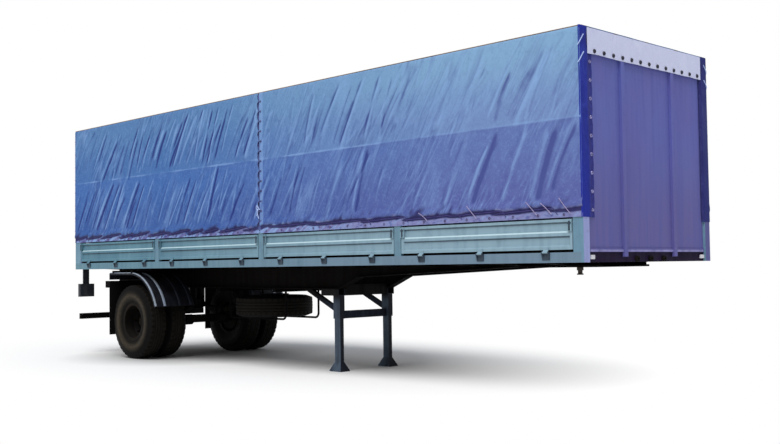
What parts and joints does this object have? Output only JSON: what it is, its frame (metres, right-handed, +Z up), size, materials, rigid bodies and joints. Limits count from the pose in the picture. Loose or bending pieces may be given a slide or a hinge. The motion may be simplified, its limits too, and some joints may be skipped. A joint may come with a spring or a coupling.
{
  "type": "single-axle tilt semi-trailer with drop sides",
  "caption": "Road semi-trailer: drop-side platform under a tarpaulin tilt on a steel ladder frame, kingpin in front, twin-tyred axle behind, fixed support legs.",
  "frame": {"origin": "on the ground, under the middle of the overall box", "axes": "+X forward to the kingpin end, +Y to the left side, +Z up"},
  "size_m": [10, 2.5, 3.65],
  "materials": {
    "board_paint": "pale grey-green paint, satin",
    "rail_paint": "blue-grey paint, satin",
    "frame_paint": "black paint, dusty",
    "wall_paint": "violet-blue paint, satin",
    "post_paint": "pale lilac paint, satin",
    "leg_paint": "steel-blue paint, satin",
    "wheel_paint": "dark paint, dusty",
    "hub_iron": "dark, dusty",
    "pin_steel": "greased steel",
    "tilt_blue": "coated blue tarpaulin, slight sheen",
    "tilt_navy": "coated dark blue tarpaulin",
    "tilt_white": "coated off-white tarpaulin",
    "tyre_rubber": "black rubber",
    "flap_rubber": "black sheet rubber",
    "deck_wood": "worn planks",
    "lamp_plastic": "dark housing"
  },
  "bodies": {
    "chassis": {"air_tank": "frame_paint", "axle_beam": "frame_paint", "brake_chambers": "frame_paint", "corner_posts": "post_paint", "coupler_plate": "frame_paint", "coupler_rails": "frame_paint", "cross_members": "frame_paint", "deck_boards": "deck_wood", "front_beam": "frame_paint", "front_couplings": "pin_steel", "front_wall": "wall_paint", "gooseneck_rails": "frame_paint", "gooseneck_slopes": "frame_paint", "hinge_brackets": "board_paint", "kingpin": "pin_steel", "leaf_springs": "frame_paint", "left_landing_leg": "leg_paint", "left_mudguard": "rail_paint", "left_tilt_front": "tilt_blue", "left_tilt_rear": "tilt_blue", "leg_bracing": "frame_paint", "main_rails": "frame_paint", "mud_flaps": "flap_rubber", "mudguard_bars": "frame_paint", "outriggers": "frame_paint", "rear_beam": "rail_paint", "right_landing_leg": "leg_paint", "right_mudguard": "rail_paint", "right_tilt_front": "tilt_blue", "right_tilt_rear": "tilt_blue", "roof_battens": "deck_wood", "roof_bows": "rail_paint", "side_posts": "board_paint", "side_rails": "rail_paint", "spare_carrier": "frame_paint", "spare_rim": "wheel_paint", "spare_tyre": "tyre_rubber", "spring_hangers": "frame_paint", "tail_lamps": "lamp_plastic", "tilt_corner_wraps": "tilt_navy", "tilt_front_flap": "tilt_white", "tilt_rear_curtain": "tilt_blue", "tilt_roof": "tilt_blue", "underrun_bar": "frame_paint"},
    "right_wheels": {"right_tyres": "tyre_rubber", "right_rims": "wheel_paint", "right_hub": "hub_iron"},
    "right_board_1": {"right_side_board_1": "board_paint"},
    "right_board_2": {"right_side_board_2": "board_paint"},
    "right_board_3": {"right_side_board_3": "board_paint"},
    "right_board_4": {"right_side_board_4": "board_paint"},
    "left_wheels": {"left_tyres": "tyre_rubber", "left_rims": "wheel_paint", "left_hub": "hub_iron"},
    "left_board_1": {"left_side_board_1": "board_paint"},
    "left_board_2": {"left_side_board_2": "board_paint"},
    "left_board_3": {"left_side_board_3": "board_paint"},
    "left_board_4": {"left_side_board_4": "board_paint"},
    "rear_board": {"tailgate": "board_paint"}
  },
  "joints": [
    {"name": "right_wheels_turn", "type": "hinge", "parent": "chassis", "child": "right_wheels", "pos_m": [-3.25, -0.885, 0.56], "axis": [0, 1, 0], "continuous": true},
    {"name": "right_board_1_drops", "type": "hinge", "parent": "chassis", "child": "right_board_1", "pos_m": [-3.675, -1.238, 1.467], "axis": [1, 0, 0], "range_deg": [0, 180]},
    {"name": "right_board_2_drops", "type": "hinge", "parent": "chassis", "child": "right_board_2", "pos_m": [-1.25, -1.238, 1.467], "axis": [1, 0, 0], "range_deg": [0, 180]},
    {"name": "right_board_3_drops", "type": "hinge", "parent": "chassis", "child": "right_board_3", "pos_m": [1.25, -1.238, 1.467], "axis": [1, 0, 0], "range_deg": [0, 180]},
    {"name": "right_board_4_drops", "type": "hinge", "parent": "chassis", "child": "right_board_4", "pos_m": [3.7123, -1.238, 1.467], "axis": [1, 0, 0], "range_deg": [0, 180]},
    {"name": "left_wheels_turn", "type": "hinge", "parent": "chassis", "child": "left_wheels", "pos_m": [-3.25, 0.885, 0.56], "axis": [0, 1, 0], "continuous": true},
    {"name": "left_board_1_drops", "type": "hinge", "parent": "chassis", "child": "left_board_1", "pos_m": [-3.675, 1.238, 1.467], "axis": [-1, 0, 0], "range_deg": [0, 180]},
    {"name": "left_board_2_drops", "type": "hinge", "parent": "chassis", "child": "left_board_2", "pos_m": [-1.25, 1.238, 1.467], "axis": [-1, 0, 0], "range_deg": [0, 180]},
    {"name": "left_board_3_drops", "type": "hinge", "parent": "chassis", "child": "left_board_3", "pos_m": [1.25, 1.238, 1.467], "axis": [-1, 0, 0], "range_deg": [0, 180]},
    {"name": "left_board_4_drops", "type": "hinge", "parent": "chassis", "child": "left_board_4", "pos_m": [3.7123, 1.238, 1.467], "axis": [-1, 0, 0], "range_deg": [0, 180]},
    {"name": "tailgate_drops", "type": "hinge", "parent": "chassis", "child": "rear_board", "pos_m": [-4.988, 0, 1.467], "axis": [0, -1, 0], "range_deg": [0, 180]}
  ]
}
